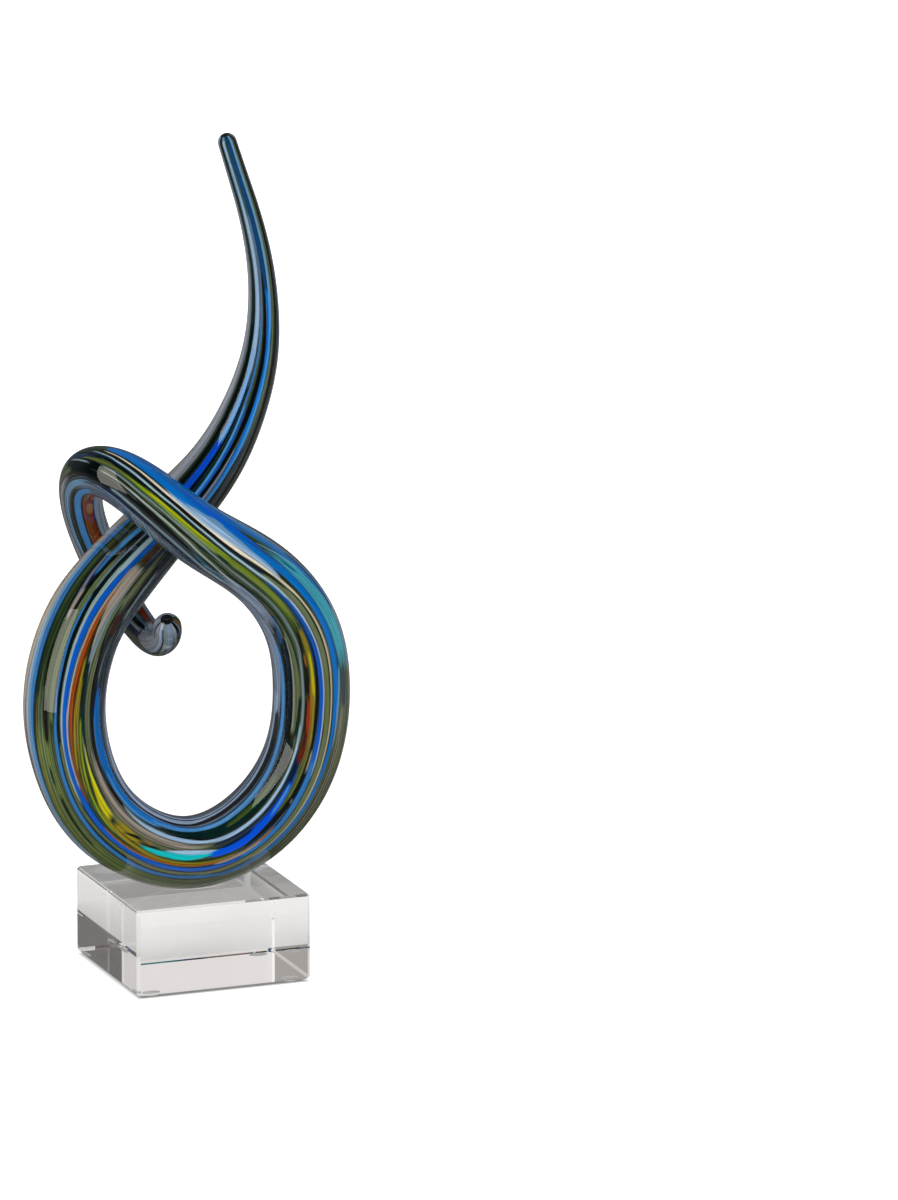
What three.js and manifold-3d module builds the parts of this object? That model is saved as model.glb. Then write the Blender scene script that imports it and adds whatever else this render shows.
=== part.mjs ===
// A knotted glass sculpture on a crystal block.
// A tapering rod of art glass is tied in one open overhand knot. It has a dark core, coloured canes laid
// lengthwise round the core, and a clear casing over them. The underside of its ring is ground flat and
// glued on a chamfered block of clear crystal, which stands on four clear bumpers.
// Lengths are in millimetres. +Z is up, +X is right and the front of the block faces -Y.

import * as THREE from 'three';
import { mergeVertices } from 'three/addons/utils/BufferGeometryUtils.js';
import Module from 'manifold-3d';

const wasm = await Module();
wasm.setup();

// Driving dimensions of the block and its bumpers
const BLOCK_WIDTH = 70;
const BLOCK_DEPTH = 70;
const BLOCK_HEIGHT = 33.5;
const BLOCK_CHAMFER = 0.8;
const FOOT_DIAMETER = 8;
const FOOT_HEIGHT = 1.2;
const FOOT_EDGE = 0.35;
const FOOT_INSET = 7;

// Driving dimensions of the glass knot
const KNOT_WIDTH = 128;
const KNOT_HEIGHT = 286;
const ROD_DIAMETER = 31;
const GROUND_DEPTH = 1.2;
const BOND_THICKNESS = 0.3;
const BOND_SPILL = 0.4;
const SEAT_LEFT = 2.3;
const SEAT_FORWARD = 6;

// The layers of the rod, as shares of its radius, and the room between two pieces of glass
const BORE_SHARE = 0.84;
const CORE_SHARE = 0.42;
const FIT_GAP = 0.3;
const CUT_OVERRUN = 5;

// How finely the rod is drawn
const RING_COUNT = 64;
const SAMPLES_PER_SPAN = 24;
const CASING_SIDES = 14;
const CORE_SIDES = 10;
const FOOT_SIDES = 16;
const BOND_SIDES = 24;
const STRAIGHT_RUN = 90;
const domeShares = [0, 0.34, 0.67, 0.9];

// The rod's path, from the tip of the tail to the end of the curl, as the control points of one smooth
// curve: across (share of KNOT_WIDTH), back (share of ROD_DIAMETER), up (share of KNOT_HEIGHT),
// thickness (share of ROD_DIAMETER) and how far the canes have turned (share of a full turn).
const pathShares = [
  // tail
  [0.161, 0.45, 0.989, 0.235, 0.05],
  [0.192, 0.45, 0.945, 0.25, 0.05],
  [0.224, 0.45, 0.901, 0.27, 0.05],
  [0.249, 0.45, 0.857, 0.3, 0.05],
  [0.266, 0.45, 0.814, 0.33, 0.05],
  [0.273, 0.45, 0.77, 0.37, 0.05],
  [0.271, 0.45, 0.727, 0.42, 0.05],
  [0.253, 0.45, 0.676, 0.49, 0.05],
  [0.198, 0.46, 0.609, 0.58, 0.045],
  // down behind the crossing
  [0.109, 0.47, 0.542, 0.69, 0.03],
  [-0.058, 0.42, 0.478, 0.84, 0],
  [-0.244, 0.27, 0.406, 0.97, -0.02],
  // round the ring
  [-0.342, 0.13, 0.359, 0.99, -0.011],
  [-0.409, 0, 0.277, 1.02, -0.003],
  [-0.394, -0.03, 0.188, 0.99, 0.011],
  [-0.296, -0.03, 0.086, 0.96, 0.008],
  [-0.025, -0.03, 0.022, 0.87, -0.006],
  [0.222, -0.03, 0.066, 0.96, -0.033],
  [0.36, -0.06, 0.155, 0.94, -0.054],
  [0.377, -0.12, 0.259, 0.96, -0.056],
  [0.336, -0.26, 0.349, 0.93, -0.047],
  // up in front of the crossing
  [0.188, -0.41, 0.432, 0.83, -0.038],
  [-0.013, -0.45, 0.481, 0.79, -0.009],
  [-0.163, -0.39, 0.543, 0.73, 0.023],
  // the loop that turns to the back
  [-0.263, -0.16, 0.576, 0.66, 0.086],
  [-0.322, 0.27, 0.568, 0.57, 0.05],
  [-0.276, 0.81, 0.504, 0.51, 0.02],
  [-0.218, 1.1, 0.451, 0.5, 0],
  // forward under the crossing and up in the curl
  [-0.164, 1, 0.386, 0.47, -0.03],
  [-0.108, 0.75, 0.34, 0.41, -0.06],
  [-0.089, 0.45, 0.323, 0.39, -0.08],
  [-0.081, 0.15, 0.325, 0.36, -0.08],
  [-0.082, -0.11, 0.344, 0.35, -0.08],
  [-0.09, -0.18, 0.356, 0.35, -0.08],
];

// The coloured canes in their order round the core: name, where each starts (share of a full turn) and
// its colour. A cane ends where the next one starts.
const caneShares = [
  ['peach', 0, 0xcdb293],
  ['pale_blue', 0.065, 0x8fb6e0],
  ['amber', 0.125, 0xb9781e],
  ['moss_green', 0.18, 0x4d5c22],
  ['smoke_grey', 0.25, 0x6e6c74],
  ['lilac_grey', 0.33, 0x8f8896],
  ['rust_red', 0.41, 0x9c3a12],
  ['sky_blue', 0.503, 0x3f86d8],
  ['slate', 0.567, 0x3c4a58],
  ['cobalt', 0.614, 0x1f5fc4],
  ['ink', 0.664, 0x15191d],
  ['ash_grey', 0.707, 0x77786f],
  ['yellow', 0.75, 0xc2b40c],
  ['royal_blue', 0.8, 0x0a44d8],
  ['bottle_green', 0.842, 0x2c3d1a],
  ['olive', 0.885, 0x6a7030],
  ['turquoise', 0.93, 0x2fa9b4],
];

const clearGlass = (name) => new THREE.MeshStandardMaterial({
  name,
  color: 0xe8f0f2,
  roughness: 0.02,
  metalness: 0,
  transparent: true,
  opacity: 0.35,
});

const colouredGlass = (name, color) => new THREE.MeshStandardMaterial({
  name,
  color,
  roughness: 0.1,
  metalness: 0,
});

function namedMesh(name, geometry, material) {
  const mesh = new THREE.Mesh(geometry, material);
  mesh.name = name;
  return mesh;
}

// The value of a uniform cubic B-spline over four neighbouring control rows.
function blend(rows, t) {
  const s = 1 - t;
  const weights = [
    s ** 3 / 6,
    (3 * t ** 3 - 6 * t ** 2 + 4) / 6,
    (3 * s ** 3 - 6 * s ** 2 + 4) / 6,
    t ** 3 / 6,
  ];
  return rows[0].map((_, column) => rows.reduce((sum, row, i) => sum + weights[i] * row[column], 0));
}

// Fine samples of the path: place, rod radius and turn of the canes.
function samplePath() {
  const last = pathShares.length - 1;
  const beyond = (end, inner) => end.map((value, i) => 2 * value - inner[i]);
  const rows = [
    beyond(pathShares[0], pathShares[1]),
    ...pathShares,
    beyond(pathShares[last], pathShares[last - 1]),
  ];
  const samples = [];
  for (let span = 0; span < last; span += 1) {
    const steps = span === last - 1 ? SAMPLES_PER_SPAN + 1 : SAMPLES_PER_SPAN;
    for (let step = 0; step < steps; step += 1) {
      const [across, back, up, thickness, turn] = blend(rows.slice(span, span + 4), step / SAMPLES_PER_SPAN);
      samples.push({
        place: new THREE.Vector3(across * KNOT_WIDTH, back * ROD_DIAMETER, up * KNOT_HEIGHT),
        radius: thickness * ROD_DIAMETER / 2,
        turn: turn * 2 * Math.PI,
      });
    }
  }
  return samples;
}

// Gives each sample its direction and a side vector that is carried along without twisting.
function addFrames(samples) {
  let side = null;
  samples.forEach((sample, i) => {
    const before = samples[Math.max(i - 1, 0)].place;
    const after = samples[Math.min(i + 1, samples.length - 1)].place;
    sample.along = after.clone().sub(before).normalize();
    side ??= new THREE.Vector3(0, 1, 0).cross(sample.along);
    side = side.clone().addScaledVector(sample.along, -side.dot(sample.along)).normalize();
    sample.side = side;
    sample.other = sample.along.clone().cross(side);
  });
}

// Picks the rings of the lofts: they crowd together where the rod bends.
function pickRings(samples) {
  const measure = [0];
  for (let i = 1; i < samples.length; i += 1) {
    const step = samples[i].place.distanceTo(samples[i - 1].place) / STRAIGHT_RUN;
    const bend = samples[i].along.angleTo(samples[i - 1].along);
    measure.push(measure[i - 1] + step + bend);
  }
  const total = measure[measure.length - 1];
  const rings = [];
  for (let k = 0; k <= RING_COUNT; k += 1) {
    const goal = total * k / RING_COUNT;
    rings.push(samples[Math.min(measure.findIndex((value) => value >= goal), samples.length - 1)]);
  }
  return rings;
}

// Sets the ground flat on the glue, at its place on the block, and tells what the flat looks like.
function seatPath(samples, seatHeight) {
  const underside = (sample) => sample.place.z - sample.radius;
  const lowest = samples.reduce((low, sample) => (underside(sample) < underside(low) ? sample : low));
  const i = samples.indexOf(lowest);
  const bend = samples[i + 1].along.angleTo(samples[i - 1].along)
    / samples[i + 1].place.distanceTo(samples[i - 1].place);
  const lift = seatHeight - GROUND_DEPTH - underside(lowest);
  samples.forEach((sample) => {
    sample.place.add(new THREE.Vector3(-SEAT_LEFT, -SEAT_FORWARD, lift));
  });
  const flatShare = (curve) => Math.sqrt(GROUND_DEPTH * (2 * curve - GROUND_DEPTH));
  return {
    place: lowest.place,
    heading: Math.atan2(lowest.along.y, lowest.along.x),
    halfLength: flatShare(1 / bend + lowest.radius) + BOND_SPILL,
    halfWidth: flatShare(lowest.radius) + BOND_SPILL,
  };
}

// A point beside a ring of the path: angle round the rod, distance from its middle, and shift along it.
function beside(ring, angle, distance, shift = 0) {
  return ring.place.clone()
    .addScaledVector(ring.side, distance * Math.cos(angle))
    .addScaledVector(ring.other, distance * Math.sin(angle))
    .addScaledVector(ring.along, shift);
}

// A polygon round the rod whose corners stand out as far as its flats lie in.
function roundSection(ring, sides, radius, shift = 0) {
  const cornerRadius = radius / Math.sqrt(Math.cos(Math.PI / sides));
  return Array.from({ length: sides }, (_, k) => beside(ring, 2 * Math.PI * k / sides, cornerRadius, shift));
}

// Skins a row of sections, all with the same number of points, and closes both ends.
function skin(sections) {
  const count = sections[0].length;
  const positions = sections.flat().flatMap((point) => point.toArray());
  const index = [];
  for (let i = 0; i < sections.length - 1; i += 1) {
    for (let k = 0; k < count; k += 1) {
      const next = (k + 1) % count;
      const a = i * count + k;
      const b = i * count + next;
      const c = a + count;
      const d = b + count;
      index.push(a, b, d, a, d, c);
    }
  }
  const end = (sections.length - 1) * count;
  for (let k = 1; k < count - 1; k += 1) {
    index.push(0, k + 1, k);
    index.push(end, end + k, end + k + 1);
  }
  const geometry = new THREE.BufferGeometry();
  geometry.setAttribute('position', new THREE.Float32BufferAttribute(positions, 3));
  geometry.setIndex(index);
  return geometry;
}

function toSolid(geometry) {
  const bare = geometry.clone();
  bare.deleteAttribute('normal');
  bare.deleteAttribute('uv');
  const merged = mergeVertices(bare);
  return new wasm.Manifold(new wasm.Mesh({
    numProp: 3,
    vertProperties: new Float32Array(merged.attributes.position.array),
    triVerts: new Uint32Array(merged.index.array),
  }));
}

function fromSolid(solid) {
  const mesh = solid.getMesh();
  const geometry = new THREE.BufferGeometry();
  geometry.setAttribute('position', new THREE.BufferAttribute(new Float32Array(mesh.vertProperties), 3));
  geometry.setIndex(new THREE.BufferAttribute(new Uint32Array(mesh.triVerts), 1));
  return geometry;
}

// The clear casing: a bored rod with a round tip. Its bore closes in at the curl's end to let the core
// out, and its underside is ground flat where it stands.
function makeCasing(rings, seatHeight) {
  const tip = rings[0];
  const end = rings[rings.length - 1];
  const section = (ring, radius, shift) => roundSection(ring, CASING_SIDES, radius, shift);
  const dome = (ring, share, direction) => {
    const lean = share * Math.PI / 2;
    return section(ring, ring.radius * Math.cos(lean), direction * ring.radius * Math.sin(lean));
  };
  const hole = end.radius * CORE_SHARE + FIT_GAP;
  const holeRise = Math.sqrt(end.radius ** 2 - hole ** 2);
  const outer = [
    ...domeShares.slice(1).reverse().map((share) => dome(tip, share, -1)),
    ...rings.map((ring) => section(ring, ring.radius, 0)),
    ...domeShares.slice(1, -1).map((share) => dome(end, share, 1)),
  ];
  const mouth = [section(end, hole, holeRise), section(end, hole, end.radius / 2)];
  const bore = rings.map((ring) => section(ring, ring.radius * BORE_SHARE, 0)).reverse();
  const boreEnd = [section(tip, tip.radius * BORE_SHARE / 2, -tip.radius / 2)];
  const blank = toSolid(skin([...outer, ...mouth, ...bore, ...boreEnd]));
  const waste = new THREE.BoxGeometry(KNOT_WIDTH, KNOT_WIDTH, CUT_OVERRUN);
  waste.translate(0, 0, seatHeight - CUT_OVERRUN / 2);
  return fromSolid(blank.subtract(toSolid(waste)));
}

// The dark core, which runs from the tip to the surface of the curl's end.
function makeCore(rings) {
  const end = rings[rings.length - 1];
  const coreRadius = end.radius * CORE_SHARE;
  const sections = rings.map((ring) => roundSection(ring, CORE_SIDES, ring.radius * CORE_SHARE));
  sections.push(roundSection(end, CORE_SIDES, coreRadius, Math.sqrt(end.radius ** 2 - coreRadius ** 2)));
  return skin(sections);
}

// One coloured cane: the part of the layer between core and casing from one angle to the next.
function makeCane(rings, startShare, endShare) {
  const start = startShare * 2 * Math.PI;
  const finish = endShare * 2 * Math.PI;
  const coreSwell = 1 / Math.sqrt(Math.cos(Math.PI / CORE_SIDES));
  const boreShrink = Math.sqrt(Math.cos(Math.PI / CASING_SIDES));
  return skin(rings.slice(1, -1).map((ring) => {
    const outer = ring.radius * BORE_SHARE * boreShrink - FIT_GAP;
    const inner = (ring.radius * CORE_SHARE * coreSwell + FIT_GAP) / Math.cos((finish - start) / 2);
    const edge = (radius, angle, inward) => beside(ring, angle + ring.turn + inward * FIT_GAP / 2 / radius, radius);
    return [edge(outer, start, 1), edge(outer, finish, -1), edge(inner, finish, -1), edge(inner, start, 1)];
  }));
}

// The crystal block with all its edges chamfered.
function makeBlock() {
  const x = BLOCK_WIDTH / 2 - BLOCK_CHAMFER;
  const y = BLOCK_DEPTH / 2 - BLOCK_CHAMFER;
  const cut = BLOCK_CHAMFER;
  const outline = new THREE.Shape([
    new THREE.Vector2(x - cut, -y),
    new THREE.Vector2(x, cut - y),
    new THREE.Vector2(x, y - cut),
    new THREE.Vector2(x - cut, y),
    new THREE.Vector2(cut - x, y),
    new THREE.Vector2(-x, y - cut),
    new THREE.Vector2(-x, cut - y),
    new THREE.Vector2(cut - x, -y),
  ]);
  const geometry = new THREE.ExtrudeGeometry(outline, {
    depth: BLOCK_HEIGHT - 2 * BLOCK_CHAMFER,
    bevelEnabled: true,
    bevelThickness: BLOCK_CHAMFER,
    bevelSize: BLOCK_CHAMFER,
    bevelSegments: 1,
  });
  geometry.translate(0, 0, FOOT_HEIGHT + BLOCK_CHAMFER);
  return geometry;
}

// The thin oval film of glue under the ground flat.
function makeBond(seat, seatHeight) {
  const geometry = new THREE.CylinderGeometry(1, 1, BOND_THICKNESS, BOND_SIDES);
  geometry.rotateX(Math.PI / 2);
  geometry.scale(seat.halfLength, seat.halfWidth, 1);
  geometry.rotateZ(seat.heading);
  geometry.translate(seat.place.x, seat.place.y, seatHeight - BOND_THICKNESS / 2);
  return geometry;
}

// A clear bumper with an eased lower edge.
function makeFoot() {
  const radius = FOOT_DIAMETER / 2;
  const geometry = new THREE.LatheGeometry([
    new THREE.Vector2(0, 0),
    new THREE.Vector2(radius - FOOT_EDGE, 0),
    new THREE.Vector2(radius, FOOT_EDGE),
    new THREE.Vector2(radius, FOOT_HEIGHT),
    new THREE.Vector2(0, FOOT_HEIGHT),
  ], FOOT_SIDES);
  geometry.rotateX(Math.PI / 2);
  return geometry;
}

const blockTop = FOOT_HEIGHT + BLOCK_HEIGHT;
const seatHeight = blockTop + BOND_THICKNESS;
const samples = samplePath();
addFrames(samples);
const seat = seatPath(samples, seatHeight);
const rings = pickRings(samples);

const sculpture = new THREE.Group();
sculpture.add(namedMesh('crystal_base', makeBlock(), clearGlass('crystal')));
sculpture.add(namedMesh('bond_film', makeBond(seat, seatHeight), clearGlass('glue')));
sculpture.add(namedMesh('clear_casing', makeCasing(rings, seatHeight), clearGlass('casing')));
sculpture.add(namedMesh('core_rod', makeCore(rings), colouredGlass('core', 0x0b0c10)));
caneShares.forEach(([name, startShare, color], i) => {
  const endShare = i + 1 < caneShares.length ? caneShares[i + 1][1] : 1;
  sculpture.add(namedMesh(`cane_${name}`, makeCane(rings, startShare, endShare), colouredGlass(name, color)));
});

const footX = BLOCK_WIDTH / 2 - FOOT_INSET;
const footY = BLOCK_DEPTH / 2 - FOOT_INSET;
for (const [end, y] of [['front', -footY], ['back', footY]]) {
  for (const [hand, x] of [['left', -footX], ['right', footX]]) {
    const foot = namedMesh(`foot_${end}_${hand}`, makeFoot(), clearGlass('bumper'));
    foot.position.set(x, y, 0);
    sculpture.add(foot);
  }
}

// The origin lies under the middle of the whole piece, on the surface that it stands on.
const group = new THREE.Group();
group.add(sculpture);
const middle = new THREE.Box3().setFromObject(sculpture).getCenter(new THREE.Vector3());
sculpture.position.set(-middle.x, -middle.y, 0);
group.updateMatrixWorld(true);

export default group;
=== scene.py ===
# %% [markdown]
# # A knotted glass sculpture on a crystal block
#
# A tapering rod of art glass is tied in one open knot and stands on a block of clear crystal. The rod has
# a black core, coloured canes laid lengthwise round the core, and a clear casing that magnifies them.
# The measured solids come first, because every piece below is placed by them.

# %% Load the measured solids
import math

import bmesh
import bpy
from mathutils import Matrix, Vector


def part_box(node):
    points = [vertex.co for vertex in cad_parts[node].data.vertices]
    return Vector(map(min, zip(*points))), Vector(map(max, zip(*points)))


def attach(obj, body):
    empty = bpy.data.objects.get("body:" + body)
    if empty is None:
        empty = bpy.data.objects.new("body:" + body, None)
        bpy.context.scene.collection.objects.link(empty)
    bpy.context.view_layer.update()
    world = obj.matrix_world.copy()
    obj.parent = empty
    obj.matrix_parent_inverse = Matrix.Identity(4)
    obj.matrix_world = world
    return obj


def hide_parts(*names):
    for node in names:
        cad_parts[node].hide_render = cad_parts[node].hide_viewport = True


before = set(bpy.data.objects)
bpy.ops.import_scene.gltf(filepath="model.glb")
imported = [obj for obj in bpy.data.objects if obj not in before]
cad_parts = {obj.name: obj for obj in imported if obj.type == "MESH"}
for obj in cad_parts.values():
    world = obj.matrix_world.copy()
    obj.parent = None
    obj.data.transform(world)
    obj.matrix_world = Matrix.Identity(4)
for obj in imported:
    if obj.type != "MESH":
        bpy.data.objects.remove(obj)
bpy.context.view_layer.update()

# %% [markdown]
# ## Camera
#
# The picture is taken with a long lens from far away, so the block's edges hardly converge. The camera
# stands to the left of the front and looks down a little. Its aim is given from the middle of the
# block's underside, along the camera's own right and up.

# %% Place the camera
LENS = 360
TURN_LEFT = math.radians(-21.12)
LOOK_DOWN = math.radians(14.18)
AIM_RIGHT = 0.09779
AIM_UP = 0.13927
CAMERA_DISTANCE = 4.58817

block_low, block_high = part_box("crystal_base")
block_foot = Vector(((block_low.x + block_high.x) / 2, (block_low.y + block_high.y) / 2, block_low.z))
forward = Vector((
    -math.sin(TURN_LEFT) * math.cos(LOOK_DOWN),
    math.cos(TURN_LEFT) * math.cos(LOOK_DOWN),
    -math.sin(LOOK_DOWN),
))
rightward = Vector((math.cos(TURN_LEFT), math.sin(TURN_LEFT), 0))
upward = rightward.cross(forward)
aim = block_foot + rightward * AIM_RIGHT + upward * AIM_UP

camera = bpy.data.objects.new("camera", bpy.data.cameras.new("camera"))
camera.data.lens = LENS
camera.data.sensor_width = 36
camera.data.clip_end = 100
camera.location = aim - forward * CAMERA_DISTANCE
camera.rotation_euler = forward.to_track_quat("-Z", "Y").to_euler()
bpy.context.scene.collection.objects.link(camera)
bpy.context.scene.camera = camera
bpy.context.scene.view_settings.view_transform = "Standard"
print("camera at", [round(value, 3) for value in camera.location])

# %% [markdown]
# ## A short way to write materials
#
# A material is a tree of nodes. Wiring each node by hand takes many lines, so a small class wraps the
# outlet of a node: `a * 2 + b` then adds the Math nodes by itself, and `node` adds any other kind.


# %% Wrap an outlet, so that shader maths reads like sums
class Wire:
    """One outlet in a tree of shader nodes."""

    def __init__(self, tree, socket=None):
        self.tree, self.socket = tree, socket

    def node(self, kind, settings=None, inputs=None, outlet=0):
        made = self.tree.nodes.new(kind)
        for name, value in (settings or {}).items():
            if name == "stops":
                ramp = made.color_ramp
                while len(ramp.elements) < len(value):
                    ramp.elements.new(0.5)
                for stop, (place, tint) in zip(ramp.elements, value):
                    stop.position, stop.color = place, tint
            elif name == "bends":
                bends = made.mapping.curves[0].points
                for bend, spot in zip((bends[0], bends[-1]), (value[0], value[-1])):
                    bend.location = spot
                for spot in value[1:-1]:
                    bends.new(*spot)
                made.mapping.update()
            else:
                setattr(made, name, value)
        for name, value in (inputs or {}).items():
            if isinstance(value, Wire):
                self.tree.links.new(value.socket, made.inputs[name])
            else:
                made.inputs[name].default_value = value
        return Wire(self.tree, made.outputs[outlet])

    def maths(self, operation, *values, clamp=False):
        settings = {"operation": operation, "use_clamp": clamp}
        return self.node("ShaderNodeMath", settings, dict(enumerate(values)))

    def __add__(self, other):
        return self.maths("ADD", self, other)

    __radd__ = __add__

    def __sub__(self, other):
        return self.maths("SUBTRACT", self, other)

    def __rsub__(self, other):
        return self.maths("SUBTRACT", other, self)

    def __mul__(self, other):
        return self.maths("MULTIPLY", self, other)

    __rmul__ = __mul__

    def __abs__(self):
        return self.maths("ABSOLUTE", self)

    def least(self, other):
        return self.maths("MINIMUM", self, other)

    def held(self):
        return self.maths("ADD", self, 0, clamp=True)

    def mix(self, factor, first, second):
        inputs = {"Factor": factor, 6: first, 7: second}
        return self.node("ShaderNodeMix", {"data_type": "RGBA"}, inputs, outlet=2)


def new_tree(holder):
    """An emptied tree of a material or a world, and its output's inlets."""
    holder.use_nodes = True
    holder.node_tree.nodes.clear()
    kind = "ShaderNodeOutputWorld" if isinstance(holder, bpy.types.World) else "ShaderNodeOutputMaterial"
    output = holder.node_tree.nodes.new(kind)
    return Wire(holder.node_tree), output.inputs


def finish_surface(tree, inlets, surface):
    tree.tree.links.new(surface.socket, inlets["Surface"])


def colour(code):
    """A colour as it is written on a screen, made linear for the shader."""
    parts = [(code >> shift & 255) / 255 for shift in (16, 8, 0)]
    return (*(p / 12.92 if p <= 0.04045 else ((p + 0.055) / 1.055) ** 2.4 for p in parts), 1)


print("a mid grey is written 0x808080 and is", round(colour(0x808080)[0], 3), "in linear light")

# %% [markdown]
# ## Room
#
# Glass shows the room more than it shows itself. The world is plain white for the camera and gives a
# soft even light to everything else, but glass gets a room with some dark in it. A surface that mirrors
# finds it nearly black in front and grey behind, so that the colours under the casing stay deep. Light
# that passes through finds white and grey walls, which draw the edges inside the crystal.

# %% Paint the room
WHITE = colour(0xFFFFFF)
SOFT_LIGHT = 0.7

world = bpy.data.worlds.new("room")
bpy.context.scene.world = world
tree, inlets = new_tree(world)
direction = tree.node("ShaderNodeTexCoord", outlet="Generated")


def light_path(tree, name):
    return tree.node("ShaderNodeLightPath", outlet=name)


def across_room(heading, stops):
    """A shade that changes along a heading, from -1 against it to 1 in its direction."""
    product = {"operation": "DOT_PRODUCT"}
    facing = tree.node("ShaderNodeVectorMath", product, {0: direction, 1: heading}, "Value")
    stops = [((place + 1) / 2, colour(shade)) for place, shade in stops]
    return tree.node("ShaderNodeValToRGB", {"stops": stops}, {"Fac": facing * 0.5 + 0.5})


BACKWARD = (0, 1, 0)
BACK_RIGHT = (0.8, 0.6, 0)
MIRRORED_ROOM = [(-0.3, 0x0C0C0C), (0.1, 0x181818), (0.5, 0x4C5054)]
ROOM_THROUGH_GLASS = [
    (-0.9, 0xFFFFFF), (-0.76, 0x605E5C), (-0.5, 0x5A5856), (-0.2, 0x6C6A6A),
    (0.22, 0x6E645C), (0.36, 0xE6E4E2), (0.56, 0xEAE8E6), (0.68, 0xEAE6E6),
]

seen = light_path(tree, "Is Camera Ray")
through = light_path(tree, "Is Transmission Ray")
mirrored = (light_path(tree, "Is Glossy Ray") - through).held()
room = tree.mix(mirrored, WHITE, across_room(BACKWARD, MIRRORED_ROOM))
room = tree.mix(through, room, across_room(BACK_RIGHT, ROOM_THROUGH_GLASS))
plain = (1 - seen - mirrored - through).held()
strength = 1 - plain * (1 - SOFT_LIGHT)
background = tree.node("ShaderNodeBackground", inputs={"Color": room, "Strength": strength})
finish_surface(tree, inlets, background)
print("room painted, soft light", SOFT_LIGHT)

# %% [markdown]
# ## Lamps
#
# A soft box stands close to the sculpture on the left, and the glass mirrors it as sharp pale patches.
# Large panels further off only light the colours, and no glass shows them. A lamp's power follows from
# how bright its cloth is and how large.


# %% Hang the soft boxes
PANEL = 1.2
LAMP_AIM = 0.27
LAMP_WHITE = 0xFFFFFF


def hang_lamp(name, sideways, away, height, wide, tall, brightness, tint=LAMP_WHITE, mirrored=False):
    """A flat lamp: its angle from the front in degrees, its distance, the height of its middle, its
    size, and how bright its cloth is. Where mirrored is off, glass doesn't show it."""
    sideways = math.radians(sideways)
    data = bpy.data.lights.new(name, "AREA")
    data.shape = "RECTANGLE"
    data.size, data.size_y = wide, tall
    data.energy = brightness * math.pi * wide * tall
    data.color = colour(tint)[:3]
    lamp = bpy.data.objects.new(name, data)
    lamp.location = (math.sin(sideways) * away, -math.cos(sideways) * away, height)
    towards = Vector((0, 0, min(height, LAMP_AIM))) - lamp.location
    lamp.rotation_euler = towards.to_track_quat("-Z", "Y").to_euler()
    lamp.visible_camera = False
    lamp.visible_transmission = False
    lamp.visible_glossy = mirrored
    bpy.context.scene.collection.objects.link(lamp)
    print(name, "power", round(data.energy, 2))


hang_lamp("left_box", -62, 0.34, 0.27, 0.19, 0.38, 1.3, 0xFFFBF2, mirrored=True)
hang_lamp("left_panel", -70, 1.2, 0.8, PANEL, PANEL, 2.4)
hang_lamp("high_panel", -20, 0.9, 1.2, 1.3, 1.3, 4.4)
hang_lamp("right_panel", 70, 1.2, 0.8, PANEL, PANEL, 3.0)
hang_lamp("back_panel", 175, 1.6, 0.8, PANEL, PANEL, 1.5)

# %% [markdown]
# ## Floor
#
# The floor is a wide white disc. To the camera and through glass it glows a little under white, and its lit
# surface adds the rest, so the sculpture's shadow still shows on it. Right under the block a painted shadow
# darkens it, because little light gets there.


# %% Lay the floor
FLOOR_RADIUS = 5.0
PAINTED_SHADOW_FADE = 0.003
EVEN_FLOOR = 0.3

# for each kind of ray: the floor's own glow, how much of it the painted shadow under the block takes away,
# and the share of lit surface
SEEN_GLOW, SEEN_PAINTED_SHADOW = 0.84, 0.74
THROUGH_GLOW, THROUGH_PAINTED_SHADOW = 0.34, 0.04
LIT_SHARE, SEEN_LESS, MIRRORED_LESS, THROUGH_LESS = 0.8, 0.56, 0.78, 0.45


def new_piece(name, mesh_maker, materials=(), smooth=True):
    """Turns a bmesh into an object whose place is in its mesh."""
    mesh = bpy.data.meshes.new(name)
    mesh_maker.to_mesh(mesh)
    mesh_maker.free()
    for material in materials:
        mesh.materials.append(material)
    mesh.polygons.foreach_set("use_smooth", [smooth] * len(mesh.polygons))
    piece = bpy.data.objects.new(name, mesh)
    bpy.context.scene.collection.objects.link(piece)
    return piece


floor_white = bpy.data.materials.new("floor_white")
tree, inlets = new_tree(floor_white)
seen = light_path(tree, "Is Camera Ray")
through = light_path(tree, "Is Transmission Ray")
mirrored = (light_path(tree, "Is Glossy Ray") - through).held()
paper = tree.node("ShaderNodeTexCoord", outlet="Object")
across = tree.node("ShaderNodeSeparateXYZ", inputs={0: paper}, outlet=0)
back = tree.node("ShaderNodeSeparateXYZ", inputs={0: paper}, outlet=1)
beside = abs(across - block_foot.x) - (block_high.x - block_low.x) / 2
before = abs(back - block_foot.y) - (block_high.y - block_low.y) / 2
clear = beside.maths("MAXIMUM", beside, before) * (1 / PAINTED_SHADOW_FADE)
# painted shadow: the floor right under the block's footprint is painted darker, for the camera and through
# glass
under = (0.2 - clear).held()
fleck = tree.node("ShaderNodeTexNoise", inputs={"Vector": paper, "Scale": 6.0, "Detail": 2.0})
lit_colour = tree.mix(fleck, colour(0xFBFBFB), colour(0xFFFFFF))
back_glow = tree.node("ShaderNodeMapRange", {"interpolation_type": "SMOOTHSTEP"}, {
    "Value": back, "From Min": -0.2, "From Max": 0.5, "To Min": 0.01, "To Max": 0.1})
far = tree.node("ShaderNodeVectorMath", {"operation": "LENGTH"}, {0: paper}, "Value") - EVEN_FLOOR
seen_glow = (far * 0.5).held() + SEEN_GLOW - under * SEEN_PAINTED_SHADOW
through_glow = THROUGH_GLOW - under * THROUGH_PAINTED_SHADOW
glow = tree.node("ShaderNodeEmission", inputs={
    "Color": WHITE, "Strength": seen * seen_glow + mirrored * back_glow + through * through_glow})
lit = tree.node("ShaderNodeBsdfDiffuse", inputs={"Color": lit_colour})
nothing = tree.node("ShaderNodeBsdfTransparent", inputs={"Color": (0, 0, 0, 1)})
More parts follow.
